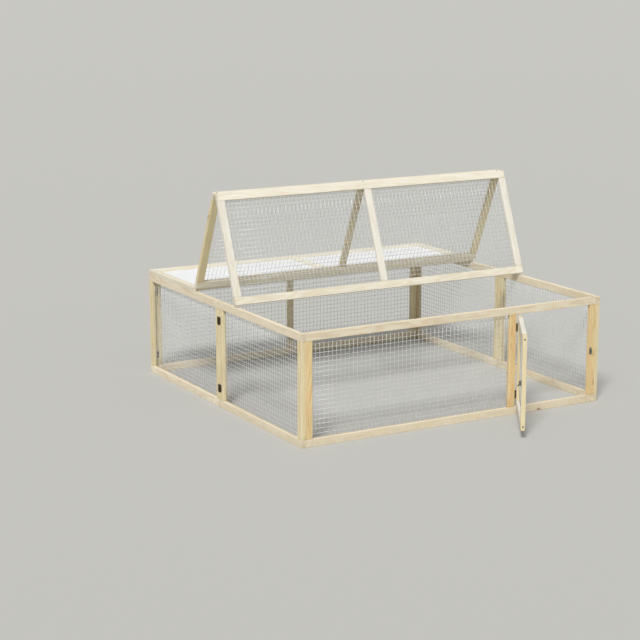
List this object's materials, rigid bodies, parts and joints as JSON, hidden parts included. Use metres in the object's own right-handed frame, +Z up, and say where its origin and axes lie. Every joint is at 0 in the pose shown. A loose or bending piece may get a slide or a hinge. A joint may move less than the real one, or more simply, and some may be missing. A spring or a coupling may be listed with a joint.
{
  "type": "outdoor rabbit run",
  "caption": "Square folding run of batten frames and welded wire mesh that stands on the ground, with a side-hung door in the front and a hinged roof that folds up into an A-shaped ridge.",
  "frame": {"origin": "middle of the rectangle of ground under the run with its open door, at ground level", "axes": "+X to the right along the front wall, +Y from the front wall to the back wall, +Z up"},
  "size_m": [1.2288, 1.4822, 0.7694],
  "materials": {
    "pine": "bare, matt",
    "roof_pine": "bare, matt",
    "board": "painted white, satin",
    "wire": "galvanised, dull",
    "hinge": "dark bronze, satin",
    "bolt": "dull grey"
  },
  "bodies": {
    "back_wall": {"back_top_rail": "pine", "back_bottom_rail": "pine", "back_stiles": "pine", "back_mesh": "wire", "back_hinge_leaves": "hinge", "back_hinge_pins": "hinge"},
    "left_rear": {"left_rear_rails": "pine", "left_rear_stiles": "pine", "left_rear_mesh": "wire", "left_rear_hinge_leaves": "hinge", "left_rear_hinge_pins": "hinge"},
    "left_front": {"left_front_rails": "pine", "left_front_stiles": "pine", "left_front_mesh": "wire", "left_front_hinge_leaves": "hinge", "left_front_hinge_pins": "hinge"},
    "front_wall": {"front_top_rail": "pine", "front_bottom_rail": "pine", "front_left_stile": "pine", "front_door_post": "pine", "front_right_stile": "pine", "front_mesh": "wire", "front_hinge_leaves": "hinge", "door_hinge_pins": "hinge", "bolt_keeper": "bolt"},
    "door": {"door_hinge_stile": "pine", "door_latch_stile": "pine", "door_bottom_rail": "pine", "door_top_rail": "pine", "door_mesh": "wire", "door_hinge_leaves": "hinge", "bolt_plate": "bolt"},
    "bolt": {"bolt_rod": "bolt"},
    "right_rear": {"right_rear_rails": "pine", "right_rear_stiles": "pine", "right_rear_mesh": "wire", "right_rear_hinge_leaves": "hinge", "right_rear_hinge_pins": "hinge"},
    "right_front": {"right_front_rails": "pine", "right_front_stiles": "pine", "right_front_mesh": "wire", "right_front_hinge_leaves": "hinge", "right_front_hinge_pins": "hinge"},
    "roof_rear": {"roof_rear_rails": "roof_pine", "roof_rear_stiles": "roof_pine", "roof_board_left": "board", "roof_board_right": "board", "roof_rear_hinge_leaves": "hinge", "roof_rear_hinge_pins": "hinge"},
    "roof_middle": {"roof_middle_rails": "roof_pine", "roof_middle_stiles": "roof_pine", "roof_middle_mesh": "wire", "roof_middle_hinge_leaves": "hinge", "roof_middle_hinge_pins": "hinge"},
    "roof_front": {"roof_front_rails": "roof_pine", "roof_front_stiles": "roof_pine", "roof_front_mesh": "wire", "roof_front_hinge_leaves": "hinge"}
  },
  "joints": [
    {"name": "left_rear_fold", "type": "hinge", "parent": "back_wall", "child": "left_rear", "pos_m": [-0.5928, 0.71952, 0.193], "axis": [0, 0, 1], "range_deg": [0, 90]},
    {"name": "left_front_fold", "type": "hinge", "parent": "left_rear", "child": "left_front", "pos_m": [-0.6122, 0.13672, 0.193], "axis": [0, 0, 1], "range_deg": [-180, 0]},
    {"name": "front_wall_fold", "type": "hinge", "parent": "left_front", "child": "front_wall", "pos_m": [-0.5928, -0.44608, 0.193], "axis": [0, 0, 1], "range_deg": [0, 90]},
    {"name": "right_rear_fold", "type": "hinge", "parent": "back_wall", "child": "right_rear", "pos_m": [0.5928, 0.71952, 0.193], "axis": [0, 0, 1], "range_deg": [-90, 0]},
    {"name": "right_front_fold", "type": "hinge", "parent": "right_rear", "child": "right_front", "pos_m": [0.6122, 0.13672, 0.193], "axis": [0, 0, 1], "range_deg": [0, 180]},
    {"name": "door_hinge", "type": "hinge", "parent": "front_wall", "child": "door", "pos_m": [0.247, -0.46548, 0.193], "axis": [0, 0, 1], "range_deg": [-45, 123]},
    {"name": "bolt_slide", "type": "slide", "parent": "door", "child": "bolt", "axis": [-0.5446, -0.8387, 0], "range_m": [0, 0.013]},
    {"name": "roof_lid", "type": "hinge", "parent": "back_wall", "child": "roof_rear", "pos_m": [0, 0.73892, 0.3862], "axis": [-1, 0, 0], "range_deg": [0, 105]},
    {"name": "roof_middle_fold", "type": "hinge", "parent": "roof_rear", "child": "roof_middle", "pos_m": [0, 0.33689, 0.4036], "axis": [-1, 0, 0], "range_deg": [-66.5, 18.5]},
    {"name": "roof_front_fold", "type": "hinge", "parent": "roof_middle", "child": "roof_front", "pos_m": [0, 0.15947, 0.76299], "axis": [1, 0, 0], "range_deg": [-137.29, 38.2]}
  ],
  "couplings": [
    {"joint": "left_front_fold", "follows": "left_rear_fold", "ratio": -2},
    {"joint": "front_wall_fold", "follows": "left_rear_fold", "ratio": 1},
    {"joint": "right_rear_fold", "follows": "left_rear_fold", "ratio": -1},
    {"joint": "right_front_fold", "follows": "left_rear_fold", "ratio": 2},
    {"joint": "roof_front_fold", "follows": "roof_middle_fold", "ratio": 2.0644}
  ]
}
